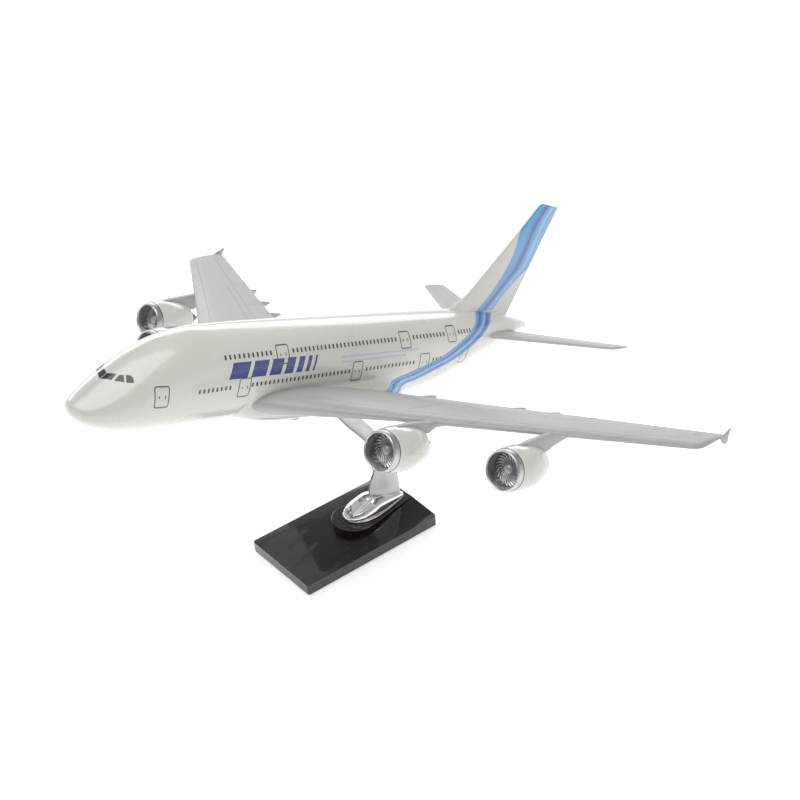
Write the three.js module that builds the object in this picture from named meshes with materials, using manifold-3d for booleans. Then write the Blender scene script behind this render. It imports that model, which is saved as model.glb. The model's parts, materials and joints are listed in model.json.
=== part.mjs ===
// Desktop model of a four-engined double-deck airliner on a wooden base, 1:160.
// Millimetres, +Z up. The origin is the centre of the felt under the base, and the base's
// front edge faces -Y. The aircraft's nose points roughly to -Y and its port wing to +X.
import * as THREE from 'three';
import { ConvexGeometry } from 'three/addons/geometries/ConvexGeometry.js';
import { mergeVertices } from 'three/addons/utils/BufferGeometryUtils.js';
import Module from 'manifold-3d';

const wasm = await Module();
wasm.setup();

// Driving dimensions. Aircraft sizes are in metres of the full-size aircraft, times SCALE.
const SCALE = 1000 / 160;
const GAP = 0.3;
const WALL = 2;
const STATION_ZERO = 36;
const NOSE_UP = THREE.MathUtils.degToRad(22);
const TURNED = THREE.MathUtils.degToRad(10);

const FELT = 0.8;
const BOARD = { width: 70.4, length: 117, thick: 8.1, corner: 2, ridge: 2.5, ridgeHalf: 5.5 };
const BOARD_BOTTOM = FELT + GAP;
const BOARD_TOP = BOARD_BOTTOM + BOARD.thick;
const BOARD_BACK = BOARD.length / 2;
const PLINTH = { radius: 17.4, centreY: 9.6, rise: 6.5, backRise: 3, backHalf: 6.5 };
const FOOT = { length: 54, frontY: 1.2, lip: 1.2 };
const ARM_THICK = 6;
const ARM_EASE = { across: 2, inward: 3 };
const ARM_TOP = 100.4;
const PIN = { y: 9.5, radius: 1.75, length: 26, depth: 7 };
const SOCKET_RADIUS = 5;
const REFERENCE = { y: 13, z: BOARD_TOP + 138.6 };
const SCREWS_Y = [13, 40];

// Surfaces of the full-size aircraft, in metres: [station, ...] rows, read by interpolation.
const FUSELAGE = [
  // station, half width, top, bottom
  [0.4, 0.06, -1.8, -1.94],
  [0.5, 0.75, -1.55, -2.36],
  [0.8, 1.38, -1.3, -2.82],
  [1.3, 1.95, -0.95, -3.27],
  [2.1, 2.5, -0.3, -3.72],
  [3.4, 3.07, 0.66, -4.14],
  [5.2, 3.58, 1.88, -4.48],
  [7.6, 3.97, 3.25, -4.64],
  [10.6, 4.15, 4.4, -4.65],
  [14.5, 4.16, 5.05, -4.65],
  [20.0, 4.16, 5.16, -4.65],
  [44.0, 4.16, 5.02, -4.65],
  [49.0, 4.05, 4.98, -3.95],
  [54.0, 3.65, 4.9, -2.65],
  [59.0, 2.9, 4.65, -1.1],
  [64.0, 1.95, 4.1, 0.35],
  [68.0, 1.1, 3.3, 1.35],
  [70.3, 0.5, 2.7, 1.8],
];
const FAIRING = { start: 17.5, end: 46.5, halfWidth: 4.6, depth: 2.4, centre: -2.85 };
const WING = {
  rootY: 2.2, kinkY: 14.5, tipY: 38.6,
  edge: (y) => 20 + 0.775 * (y - 3.5),
  trail: (y) => (y < 14.5 ? 39.9 + 0.15 * (y - 3.5) : 41.55 + 0.462 * (y - 14.5)),
  edgeZ: (y) => -2.4 + 0.1114 * (y - 3.5),
  trailZ: (y) => (y < 14.5 ? -2.9 + 0.182 * (y - 3.5) : -0.9 + 0.133 * (y - 14.5)),
  thick: (y) => (y < 14.5 ? 0.15 - 0.0041 * (y - 3.5) : 0.105),
};
const TAIL = {
  edge: (y) => 58.4 + 0.67 * (y - 1),
  trail: (y) => 66.6 + 0.38 * (y - 1),
  height: (y) => 1.8 + 0.12 * (y - 1),
};
const FIN = { edge: (z) => 54.5 + 1.051 * (z - 4.2), trail: (z) => 66.3 + 0.48 * (z - 4.2) };
const ENGINES = [
  { name: '1', side: 1, x: 26.8, s: 31.1, z: -2.75 },
  { name: '2', side: 1, x: 17.5, s: 23.6, z: -3.05 },
  { name: '3', side: -1, x: 17.5, s: 23.6, z: -3.05 },
  { name: '4', side: -1, x: 26.8, s: 31.1, z: -2.75 },
];
const FLAP_FAIRINGS = [9, 18.9, 22.4, 26.2];
const FAN_BLADES = 24;

const part = new THREE.Group();

function material(color, roughness, metalness) {
  return new THREE.MeshStandardMaterial({ color, roughness, metalness });
}

const PAINT = {
  white: material(0xe9e8e2, 0.25, 0),
  grey: material(0xc6c8c8, 0.35, 0),
  blue: material(0x3f86c8, 0.3, 0),
  silver: material(0xb9bcbe, 0.3, 0.8),
  blade: material(0xa9acae, 0.35, 0.7),
  dark: material(0x4a4c4e, 0.35, 0.8),
  chrome: material(0xd8dadd, 0.08, 1),
  satin: material(0xcfd0d6, 0.35, 0.6),
  wood: material(0x2a1514, 0.2, 0),
  felt: material(0x151515, 0.95, 0),
};

function add(name, geometry, paint, parent = part) {
  const mesh = new THREE.Mesh(geometry, paint);
  mesh.name = name;
  parent.add(mesh);
  return mesh;
}

// Solids: a BufferGeometry becomes a manifold solid for a cut or a join, and back again.
function toSolid(geometry) {
  let g = geometry.clone();
  g.deleteAttribute('normal');
  g.deleteAttribute('uv');
  g = mergeVertices(g, 1e-4);
  return new wasm.Manifold(new wasm.Mesh({
    numProp: 3,
    vertProperties: new Float32Array(g.attributes.position.array),
    triVerts: new Uint32Array(g.index.array),
  }));
}

function toGeometry(solid) {
  const mesh = solid.getMesh();
  const g = new THREE.BufferGeometry();
  g.setAttribute('position', new THREE.BufferAttribute(new Float32Array(mesh.vertProperties), 3));
  g.setIndex(new THREE.BufferAttribute(new Uint32Array(mesh.triVerts), 1));
  return g;
}

function largest(solid) {
  return solid.decompose().sort((a, b) => b.volume() - a.volume())[0];
}

// A closed loft through rings of equal length, with a fan over each end.
function loft(rings) {
  const count = rings[0].length;
  const points = rings.flat();
  const index = [];
  for (let i = 0; i + 1 < rings.length; i += 1) {
    for (let j = 0; j < count; j += 1) {
      const a = i * count + j;
      const b = i * count + ((j + 1) % count);
      index.push(a, b, a + count, b, b + count, a + count);
    }
  }
  [0, rings.length - 1].forEach((ring, end) => {
    const middle = rings[ring].reduce((sum, p) => sum.add(p), new THREE.Vector3());
    points.push(middle.multiplyScalar(1 / count));
    for (let j = 0; j < count; j += 1) {
      const a = ring * count + j;
      const b = ring * count + ((j + 1) % count);
      index.push(...(end ? [a, b, points.length - 1] : [b, a, points.length - 1]));
    }
  });
  const g = new THREE.BufferGeometry();
  g.setAttribute('position', new THREE.Float32BufferAttribute(points.flatMap((p) => p.toArray()), 3));
  g.setIndex(index);
  return outward(g);
}

function outward(g) {
  const p = g.attributes.position;
  const corner = [0, 1, 2].map(() => new THREE.Vector3());
  let volume = 0;
  for (let i = 0; i < g.index.count; i += 3) {
    corner.forEach((c, k) => c.fromBufferAttribute(p, g.index.getX(i + k)));
    volume += corner[0].dot(corner[1].clone().cross(corner[2]));
  }
  if (volume < 0) {
    g.setIndex(Array.from(g.index.array).reverse());
  }
  return g;
}

function box(x0, x1, y0, y1, z0, z1) {
  const g = new THREE.BoxGeometry(x1 - x0, y1 - y0, z1 - z0);
  return g.translate((x0 + x1) / 2, (y0 + y1) / 2, (z0 + z1) / 2);
}

function rod(radius, z0, z1, x, y, sides = 20) {
  const g = new THREE.CylinderGeometry(radius, radius, z1 - z0, sides);
  return g.rotateX(Math.PI / 2).translate(x, y, (z0 + z1) / 2);
}

// A point of the aircraft, from metres: port, station and height.
function spot(port, station, height) {
  return new THREE.Vector3(port * SCALE, (station - STATION_ZERO) * SCALE, height * SCALE);
}

function between(rows, at) {
  const i = Math.max(1, rows.findIndex((row) => row[0] >= at));
  const t = (at - rows[i - 1][0]) / (rows[i][0] - rows[i - 1][0]);
  return rows[i].map((value, k) => THREE.MathUtils.lerp(rows[i - 1][k], value, t));
}

function signedPower(value, power) {
  return Math.sign(value) * Math.abs(value) ** power;
}

function oval(station, halfWidth, centre, halfHeight, power, count) {
  return Array.from({ length: count }, (_, j) => {
    const angle = (2 * Math.PI * j) / count;
    const x = halfWidth * signedPower(Math.cos(angle), power);
    return spot(x, station, centre + halfHeight * signedPower(Math.sin(angle), power));
  });
}

// The fuselage tube and the wing-root fairing as one solid, offset outwards by grow (mm).
function bodySolid(grow) {
  const g = grow / SCALE;
  const coarse = [2.1, 5.2, 10.6, 20, 44, 54, 64, 68];
  const rows = FUSELAGE.filter((row) => g >= 0 || coarse.includes(row[0]));
  const tube = loft(rows.map(([s, w, top, bottom], i) => {
    const end = i === rows.length - 1 ? g : 0;
    const start = i === 0 ? -g : 0;
    return oval(s + start + end, w + g, (top + bottom) / 2, (top - bottom) / 2 + g, 1, g < 0 ? 12 : 20);
  }));
  const steps = g < 0 ? 6 : 10;
  const rings = Array.from({ length: steps + 1 }, (_, i) => {
    const v = -0.97 + (1.94 * i) / steps;
    const middle = (FAIRING.start + FAIRING.end) / 2;
    const s = middle + (v * (FAIRING.end - FAIRING.start)) / 2;
    const full = Math.sqrt(1 - v ** 4);
    const w = FAIRING.halfWidth * full + g;
    return oval(s, w, FAIRING.centre, FAIRING.depth * full + g, 0.8, g < 0 ? 10 : 16);
  });
  return toSolid(tube).add(toSolid(loft(rings)));
}

// A wing-like section in the plane of constant spot: leading edge a, trailing edge b, both
// [station, height], with thickness as a share of chord and a blunt trailing edge.
function section(place, a, b, ratio, grow) {
  const chord = b[0] - a[0];
  const along = [1, 0.75, 0.5, 0.28, 0.1, 0.02];
  const half = (t) => {
    const shape = 2.969 * Math.sqrt(t) - 1.26 * t - 3.516 * t * t + 2.843 * t ** 3 - 1.015 * t ** 4;
    return Math.max((ratio * chord * shape) / 2, 0.045) + grow;
  };
  const at = (t) => a[0] + chord * t + (t === 1 ? grow : 0);
  const line = (t) => THREE.MathUtils.lerp(a[1], b[1], t);
  const upper = along.map((t) => place(at(t), line(t) + half(t)));
  const lower = along.toReversed().map((t) => place(at(t), line(t) - half(t)));
  return [...upper, place(a[0] - grow, a[1]), ...lower];
}

function wingSolid(grow = 0) {
  const g = grow / SCALE;
  const spans = [WING.rootY, 4, 8, WING.kinkY, 22, 30, WING.tipY];
  return toSolid(loft(spans.map((y) => section(
    (s, z) => spot(y, s, z),
    [WING.edge(y), WING.edgeZ(y)],
    [WING.trail(y), WING.trailZ(y)],
    WING.thick(y),
    g,
  ))));
}

function canoe(y) {
  const s = WING.trail(y) - 0.9;
  const z = THREE.MathUtils.lerp(WING.edgeZ(y), WING.trailZ(y), 0.85) - 0.35;
  const g = new THREE.SphereGeometry(1, 6, 5);
  g.scale(0.32 * SCALE, 3 * SCALE, 0.5 * SCALE);
  return toSolid(g.translate(...spot(y, s, z).toArray()));
}

const BODY = bodySolid(0);
const BODY_CLEAR = bodySolid(GAP);
const INSIDE = bodySolid(-WALL);
const MIRROR = new THREE.Matrix4().makeScale(-1, 1, 1);

function mirrored(geometry) {
  const g = geometry.clone().applyMatrix4(MIRROR);
  g.setIndex(Array.from(g.index.array).reverse());
  return g;
}

function tab(y0, y1, s0, s1, z, half, clear = 0) {
  const a = spot(y0, s0, z - half);
  const b = spot(y1, s1, z + half);
  return toSolid(box(
    a.x - clear,
    b.x + clear,
    a.y - clear,
    b.y + clear,
    a.z - clear,
    b.z + clear,
  ));
}

const wingTab = (clear) => tab(3, 6.5, 26, 33, -2.35, 0.16, clear);
const tailTab = (clear) => tab(0.35, 2.6, 61.5, 64.5, 1.95, 0.14, clear);
const finTab = (clear) => tab(-0.16, 0.16, 57, 62, 4.5, 1.3, clear);

function wing() {
  let solid = wingSolid();
  FLAP_FAIRINGS.forEach((y) => { solid = solid.add(canoe(y)); });
  return toGeometry(largest(solid.subtract(BODY_CLEAR)).add(wingTab(0)));
}

function fence() {
  const outline = new THREE.Shape([
    [51.2, 2.1],
    [52.2, 2.62],
    [53.1, 3.05],
    [53.2, 2.85],
    [53.0, 2.2],
    [53.1, 1.6],
    [52.7, 1.3],
    [51.8, 1.6],
  ].map(([s, z]) => new THREE.Vector2((s - STATION_ZERO) * SCALE, z * SCALE)));
  const g = new THREE.ExtrudeGeometry(outline, { depth: 1.2, bevelEnabled: false });
  g.applyMatrix4(new THREE.Matrix4().set(0, 0, 1, 0, 1, 0, 0, 0, 0, 1, 0, 0, 0, 0, 0, 1));
  return mergeVertices(g.translate(WING.tipY * SCALE + GAP, 0, 0));
}

function tailplane() {
  const spans = [0.4, 2.5, 8, 15.1];
  const solid = toSolid(loft(spans.map((y) => section(
    (s, z) => spot(y, s, z),
    [TAIL.edge(y), TAIL.height(y)],
    [TAIL.trail(y), TAIL.height(y)],
    0.1,
    0,
  ))));
  return toGeometry(largest(solid.subtract(BODY_CLEAR)).add(tailTab(0)));
}

function fin() {
  const heights = [3.4, 5, 6, 7.2, 12, 17.8];
  const fillet = (z) => (z < 7.2 ? 0.75 * (7.2 - z) : 0);
  const solid = toSolid(loft(heights.map((z) => section(
    (s, x) => spot(x, s, z),
    [FIN.edge(z) - fillet(z), 0],
    [FIN.trail(z), 0],
    0.085,
    0,
  ))));
  return toGeometry(largest(solid.subtract(BODY_CLEAR)).add(finTab(0)));
}

// Lathe profiles of an engine: [radius, distance behind the inlet], in metres.
function turned(profile, sides = 20) {
  const points = profile.map(([r, s]) => new THREE.Vector2(r * SCALE, s * SCALE));
  return outward(mergeVertices(clean(new THREE.LatheGeometry(points, sides))));
}

function clean(g) {
  g.deleteAttribute('normal');
  g.deleteAttribute('uv');
  return g;
}

const LIP = [
  [1.86, 0.06], [1.98, 0.03], [2.06, 0.3], [2.12, 0.75], [1.74, 0.75], [1.76, 0.3], [1.86, 0.06],
];
const COWL_END = 5.9;
const COWL_OUTSIDE = [[2.13, 0.8], [2.27, 1.6], [2.32, 2.6], [2.2, 3.9], [1.9, 5.1], [1.62, COWL_END]];
const COWL_INSIDE = [[1.52, COWL_END], [1.7, 3.2], [1.72, 0.8]];
const CORE = [
  [0, 2.3], [1.64, 2.3], [1.64, 2.6], [0.9, 2.75], [1.0, 5.4],
  [0.72, 6.9], [0.5, 6.9], [0.42, 7.4], [0, 8.0],
];

const SPINNER = [[0, 0.8], [0.3, 0.85], [0.56, 1.07], [0.66, 1.3], [0.66, 1.75], [0, 1.75]];

function fanGeometry() {
  const outline = new THREE.Shape();
  const root = 0.62 * SCALE;
  const tip = 1.62 * SCALE;
  const pitch = (2 * Math.PI) / FAN_BLADES;
  for (let i = 0; i < FAN_BLADES; i += 1) {
    [[root, -0.46], [tip, -0.3], [tip, 0.3], [root, 0.46]].forEach(([r, share]) => {
      const angle = (i + share) * pitch;
      outline[i === 0 && share === -0.46 ? 'moveTo' : 'lineTo'](r * Math.cos(angle), r * Math.sin(angle));
    });
  }
  const disc = new THREE.ExtrudeGeometry(outline, { depth: 0.28 * SCALE, bevelEnabled: false });
  disc.rotateX(-Math.PI / 2).translate(0, 1.35 * SCALE, 0);
  const spinner = turned(SPINNER, 16);
  const bore = new THREE.CylinderGeometry(0.95, 0.95, 0.6 * SCALE, 12).translate(0, 1.7 * SCALE, 0);
  return toGeometry(toSolid(disc).add(toSolid(spinner)).subtract(toSolid(bore)));
}

function coreGeometry() {
  const bore = new THREE.CylinderGeometry(0.95, 0.95, 2 * SCALE, 12).translate(0, 2.7 * SCALE, 0);
  return toGeometry(toSolid(turned(CORE)).subtract(toSolid(bore)));
}

// The pylon's side outline, from the cowl's crown up to the wing; a and b place the wing's
// leading edge behind and above the inlet's centre.
function pylon(engine) {
  const a = WING.edge(engine.x) - engine.s;
  const b = WING.edgeZ(engine.x) - engine.z;
  const outline = new THREE.Shape([
    [1.7, 1.9], [2.2, 2.4], [a + 0.25, b + 0.12], [a + 1.2, b + 0.2], [a + 5.2, b + 0.05],
    [a + 6.6, b - 0.45], [8.1, 1.7], [6.7, 1.1], [5, 1.2],
  ].map(([s, z]) => new THREE.Vector2(s * SCALE, z * SCALE)));
  const g = new THREE.ExtrudeGeometry(outline, { depth: 0.8 * SCALE, bevelEnabled: false });
  g.applyMatrix4(new THREE.Matrix4().set(0, 0, 1, 0, 1, 0, 0, 0, 0, 1, 0, 0, 0, 0, 0, 1));
  g.translate(-0.4 * SCALE, 0, 0);
  const grown = COWL_OUTSIDE.map(([r, s]) => [r + GAP / SCALE, s]);
  const start = 0.7;
  const end = COWL_END + 0.1;
  const cowl = turned([[0, start], [grown[0][0], start], ...grown, [grown.at(-1)[0], end], [0, end]]);
  const place = spot(engine.x, engine.s, engine.z);
  const solid = toSolid(g).subtract(toSolid(cowl)).translate(place.toArray());
  return toGeometry(largest(solid.subtract(wingSolid(GAP))));
}

function engine(parent, spec) {
  const group = new THREE.Group();
  group.position.copy(spot(spec.side * spec.x, spec.s, spec.z));
  parent.add(group);
  add(`cowl_${spec.name}`, turned([...COWL_OUTSIDE, ...COWL_INSIDE, COWL_OUTSIDE[0]]), PAINT.white, group);
  add(`inlet_lip_${spec.name}`, turned(LIP), PAINT.silver, group);
  add(`fan_${spec.name}`, fanGeometry(), PAINT.blade, group);
  add(`engine_core_${spec.name}`, coreGeometry(), PAINT.dark, group);
  const pin = new THREE.CylinderGeometry(0.7, 0.7, 1.9 * SCALE, 10).translate(0, 2.5 * SCALE, 0);
  add(`fan_shaft_${spec.name}`, pin, PAINT.silver, group);
  const strut = pylon(spec);
  add(`pylon_${spec.name}`, spec.side > 0 ? strut : mirrored(strut), PAINT.grey, parent);
}

// Base and stand. Their shapes are drawn about the board's centre, from the board's top.
function boardGeometry() {
  const half = BOARD.width / 2;
  const back = BOARD_BACK;
  const points = [];
  [[-1, -1], [1, -1], [1, 1], [-1, 1]].forEach(([i, j]) => {
    const c = BOARD.corner;
    for (let k = 0; k <= 4; k += 1) {
      const a = (k * Math.PI) / 8;
      const x = i * (half - c + c * Math.sin(a));
      const y = j * (back - c + c * Math.cos(a));
      points.push(new THREE.Vector3(x, y, BOARD_BOTTOM), new THREE.Vector3(x, y, BOARD_TOP));
    }
  });
  [-1, 1].forEach((i) => {
    points.push(new THREE.Vector3(i * BOARD.ridgeHalf, back, BOARD_TOP + BOARD.ridge));
  });
  return new ConvexGeometry(points);
}

const TILT = Math.atan((PLINTH.rise - PLINTH.backRise) / (BOARD_BACK - PLINTH.centreY + PLINTH.radius));

// The plinth's plan: a round front and straight sides running to the board's back edge.
function plinthPlan() {
  const r = PLINTH.radius;
  const c = PLINTH.centreY;
  const reach = Math.hypot(PLINTH.backHalf, BOARD_BACK - c);
  const swing = Math.acos(r / reach);
  const start = Math.atan2(BOARD_BACK - c, PLINTH.backHalf) - swing;
  const plan = new THREE.Shape();
  plan.moveTo(PLINTH.backHalf, BOARD_BACK);
  plan.lineTo(-PLINTH.backHalf, BOARD_BACK);
  const turns = 20;
  for (let i = 0; i <= turns; i += 1) {
    const a = Math.PI - start + (i / turns) * (Math.PI + 2 * start);
    plan.lineTo(r * Math.cos(a), c + r * Math.sin(a));
  }
  return plan;
}

function plinthSolid() {
  const prism = new THREE.ExtrudeGeometry(plinthPlan(), { depth: 14, bevelEnabled: false });
  const roof = box(-30, 30, 0, 90, 0, 20).rotateX(-TILT);
  roof.translate(0, PLINTH.centreY - PLINTH.radius, BOARD_TOP + PLINTH.rise);
  const board = toSolid(boardGeometry()).translate([0, 0, GAP]);
  return largest(toSolid(prism.translate(0, 0, BOARD_TOP - 1)).subtract(toSolid(roof)).subtract(board));
}

// The foot's dome: its crest rises to the arm's toe and falls away behind it. Its plan is a
// boat shape, widest a third of the way back; rows are [distance from the front, half width].
const CREST = [
  [0, 1], [1, 2.8], [3, 4.9], [7, 7.4], [15, 10.4], [23, 12.4], [30, 11.2], [38, 8.6], [46, 5.6], [54, 1],
];
const FOOT_PLAN = [
  [0, 1.2], [1, 4.6], [3, 7.6], [7, 10.4], [13, 12.1], [20, 12.3], [30, 10.6], [40, 8], [48, 5.4],
  [52, 3.3], [54, 1.2],
];
const FOOT_FULLNESS = 0.6;

function footSolid(grow) {
  const rows = 12;
  const rings = [];
  for (let i = 0; i <= rows; i += 1) {
    const y = (FOOT.length * (1 - Math.cos((Math.PI * i) / rows))) / 2;
    const half = between(FOOT_PLAN, y)[1] + grow;
    const high = between(CREST, y)[1] + FOOT.lip + grow;
    const ring = [new THREE.Vector3(half, y, 0), new THREE.Vector3(half, y, FOOT.lip)];
    for (let k = 1; k < 8; k += 1) {
      const a = (Math.PI * k) / 8;
      const z = FOOT.lip + (high - FOOT.lip) * Math.sin(a) ** FOOT_FULLNESS;
      ring.push(new THREE.Vector3(half * Math.cos(a), y, z));
    }
    ring.push(new THREE.Vector3(-half, y, FOOT.lip), new THREE.Vector3(-half, y, 0));
    rings.push(ring);
  }
  const g = loft(rings).rotateX(-TILT);
  const drop = (FOOT.frontY - PLINTH.centreY + PLINTH.radius) * Math.tan(TILT);
  return toSolid(g.translate(0, FOOT.frontY, BOARD_TOP + PLINTH.rise - drop + GAP));
}

// The arm's side outline, from the board's top: the front edge going up, the rear edge down.
const ARM_FRONT = [
  [22.9, 14], [26.5, 28], [30.3, 36], [31.2, 48], [28.6, 59], [22.9, 69], [12, 84], [1.9, ARM_TOP],
];
const ARM_REAR = [
  [16.2, ARM_TOP], [19.4, 93.9], [26.3, 83], [33.3, 72.8], [42.5, 56], [48.2, 40], [51, 26.7], [52.8, 6],
];

function armGeometry() {
  const curve = (rows) => {
    const points = rows.map(([y, z]) => new THREE.Vector2(y, z));
    return new THREE.SplineCurve(points).getPoints(14);
  };
  const outline = new THREE.Shape([...curve(ARM_FRONT), ...curve(ARM_REAR)]);
  const options = {
    depth: ARM_THICK - 2 * ARM_EASE.across,
    bevelThickness: ARM_EASE.across,
    bevelSize: ARM_EASE.inward,
    bevelOffset: -ARM_EASE.inward,
    bevelSegments: 1,
  };
  const shift = ARM_EASE.across - ARM_THICK / 2;
  const g = new THREE.ExtrudeGeometry(outline, options).translate(0, 0, shift);
  g.applyMatrix4(new THREE.Matrix4().set(0, 0, 1, 0, 1, 0, 0, 0, 0, 1, 0, BOARD_TOP, 0, 0, 0, 1));
  const top = BOARD_TOP + ARM_TOP;
  const bore = rod(PIN.radius + GAP, top - PIN.depth - GAP, top + 5, 0, PIN.y);
  const solid = toSolid(g).subtract(footSolid(GAP)).subtract(toSolid(bore));
  return toGeometry(largest(solid).add(tenon(0)));
}

function tenon(clear) {
  const low = BOARD_TOP + PLINTH.rise + 2.5;
  return toSolid(box(-2 - clear, 2 + clear, 27 - clear, 34 + clear, low - clear, low + 10));
}

function screwGeometry(y) {
  const head = rod(3.2, BOARD_BOTTOM + 0.4, BOARD_BOTTOM + 2.6, 0, y, 12);
  const shank = rod(1.4, BOARD_BOTTOM + 2.4, BOARD_BOTTOM + 16.5, 0, y, 12);
  const slot = box(-3.4, 3.4, y - 0.4, y + 0.4, BOARD_BOTTOM, BOARD_BOTTOM + 1.2);
  return toGeometry(toSolid(head).add(toSolid(shank)).subtract(toSolid(slot)));
}

function drilled(solid) {
  let result = solid;
  SCREWS_Y.forEach((y) => {
    const sink = rod(3.6, BOARD_BOTTOM - 1, BOARD_BOTTOM + 3, 0, y, 16);
    const hole = rod(1.75, BOARD_BOTTOM - 1, BOARD_BOTTOM + 17, 0, y, 12);
    result = result.subtract(toSolid(sink)).subtract(toSolid(hole));
  });
  return result;
}

function feltGeometry() {
  const x = BOARD.width / 2 - 1.5;
  const y = BOARD_BACK - 1.5;
  return box(-x, x, -y, y, 0, FELT);
}

add('base_felt', feltGeometry(), PAINT.felt);
add('base_board', toGeometry(drilled(toSolid(boardGeometry()))), PAINT.wood);
add('plinth', toGeometry(drilled(plinthSolid())), PAINT.wood);
add('stand_foot', toGeometry(drilled(footSolid(0)).subtract(tenon(GAP))), PAINT.chrome);
add('stand_arm', armGeometry(), PAINT.satin);
add('foot_screw_front', screwGeometry(SCREWS_Y[0]), PAINT.silver);
add('foot_screw_rear', screwGeometry(SCREWS_Y[1]), PAINT.silver);
const PIN_LOW = BOARD_TOP + ARM_TOP - PIN.depth;
add('stand_pin', rod(PIN.radius, PIN_LOW, PIN_LOW + PIN.length, 0, PIN.y, 16), PAINT.silver);

// The aircraft turns about the pin. Inside the turning group it is pitched nose-up.
const turning = new THREE.Group();
turning.position.set(0, PIN.y, 0);
turning.rotation.z = TURNED;
part.add(turning);
const aircraft = new THREE.Group();
aircraft.position.set(0, REFERENCE.y - PIN.y, REFERENCE.z);
aircraft.rotation.x = -NOSE_UP;
turning.add(aircraft);
aircraft.updateMatrix();
const TO_AIRCRAFT = aircraft.matrix.clone().invert();

function uprightInAircraft(geometry) {
  return toSolid(geometry.applyMatrix4(TO_AIRCRAFT));
}

const SOCKET_LOW = PIN_LOW + 8;
const SOCKET_TOP = PIN_LOW + PIN.length + 3;
const PLUG = { station: 30, radius: 5.2, stem: 2.6, height: 6.2, domeRadius: 3.6, dome: 0.5, ease: 2 };

function socketGeometry() {
  const outer = uprightInAircraft(rod(SOCKET_RADIUS, SOCKET_LOW, SOCKET_TOP, 0, 0));
  const bore = uprightInAircraft(rod(PIN.radius + GAP, SOCKET_LOW - 1, SOCKET_TOP - 2.4, 0, 0, 16));
  return toGeometry(largest(outer.intersect(BODY).subtract(bore)));
}

function plugGeometry() {
  const low = (FAIRING.centre - FAIRING.depth) * SCALE;
  const profile = [
    [0, -PLUG.height],
    [PLUG.domeRadius, PLUG.dome - PLUG.height],
    [PLUG.radius, PLUG.ease - PLUG.height],
    [PLUG.radius, -GAP],
    [PLUG.stem, -GAP],
    [PLUG.stem, 4],
    [0, 4],
  ];
  const g = new THREE.LatheGeometry(profile.map(([r, z]) => new THREE.Vector2(r, z)), 18);
  g.rotateX(Math.PI / 2).translate(0, (PLUG.station - STATION_ZERO) * SCALE, low);
  return outward(mergeVertices(clean(g)));
}

function fuselageHalf(side) {
  const keep = box(GAP / 2, 60, -300, 300, -60, 60);
  const socket = uprightInAircraft(rod(SOCKET_RADIUS + GAP, SOCKET_LOW - 20, SOCKET_TOP + GAP, 0, 0));
  const low = (FAIRING.centre - FAIRING.depth) * SCALE;
  const plug = rod(PLUG.stem + GAP, low - 5, low + 6, 0, (PLUG.station - STATION_ZERO) * SCALE, 18);
  let solid = BODY.subtract(INSIDE).intersect(toSolid(keep));
  solid = solid.subtract(socket).subtract(toSolid(plug));
  solid = solid.subtract(wingTab(GAP)).subtract(tailTab(GAP)).subtract(finTab(GAP));
  const g = toGeometry(largest(solid));
  return side > 0 ? g : mirrored(g);
}

add('fuselage_left', fuselageHalf(1), PAINT.white, aircraft);
add('fuselage_right', fuselageHalf(-1), PAINT.white, aircraft);
add('pin_socket', socketGeometry(), PAINT.grey, aircraft);
add('belly_plug', plugGeometry(), PAINT.grey, aircraft);
add('fin', fin(), PAINT.white, aircraft);

const WING_SHAPE = wing();
const FENCE_SHAPE = fence();
const TAIL_SHAPE = tailplane();
[['left', 1], ['right', -1]].forEach(([name, side]) => {
  const hand = (g) => (side > 0 ? g : mirrored(g));
  add(`wing_${name}`, hand(WING_SHAPE), PAINT.grey, aircraft);
  add(`wingtip_fence_${name}`, hand(FENCE_SHAPE), PAINT.grey, aircraft);
  add(`tailplane_${name}`, hand(TAIL_SHAPE), PAINT.grey, aircraft);
});
ENGINES.forEach((spec) => engine(aircraft, spec));

export default part;
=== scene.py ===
"""Looks of the desktop airliner model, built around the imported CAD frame.

Aircraft shapes are given in metres of the full-size aircraft as (port, station, height) and are
placed by AIRCRAFT; stand shapes are given in millimetres of the part frame and placed by STAND.
"""
import json
import math

import bmesh
import bpy
import numpy as np
from mathutils import Matrix, Vector


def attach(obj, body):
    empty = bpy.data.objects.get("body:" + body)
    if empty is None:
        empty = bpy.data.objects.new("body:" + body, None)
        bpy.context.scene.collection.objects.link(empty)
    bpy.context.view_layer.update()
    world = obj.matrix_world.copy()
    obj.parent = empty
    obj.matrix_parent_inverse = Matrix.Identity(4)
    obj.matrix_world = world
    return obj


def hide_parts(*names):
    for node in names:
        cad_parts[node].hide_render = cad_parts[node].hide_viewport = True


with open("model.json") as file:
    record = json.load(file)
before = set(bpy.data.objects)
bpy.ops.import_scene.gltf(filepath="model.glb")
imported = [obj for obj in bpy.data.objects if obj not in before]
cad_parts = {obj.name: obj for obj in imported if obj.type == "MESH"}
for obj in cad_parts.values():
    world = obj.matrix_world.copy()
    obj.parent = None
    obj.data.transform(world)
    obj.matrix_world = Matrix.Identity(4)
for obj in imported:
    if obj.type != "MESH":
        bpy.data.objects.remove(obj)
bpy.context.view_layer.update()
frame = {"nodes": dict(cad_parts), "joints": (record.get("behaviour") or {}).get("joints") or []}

# ---------------------------------------------------------------- driving dimensions
SCALE = 1 / 160
STATION_ZERO = 36
NOSE_UP = math.radians(22)
TURNED = math.radians(10)
PIN_Y = frame["joints"][0]["pos_m"][1]
REFERENCE = (0.013, 0.1478)
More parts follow.
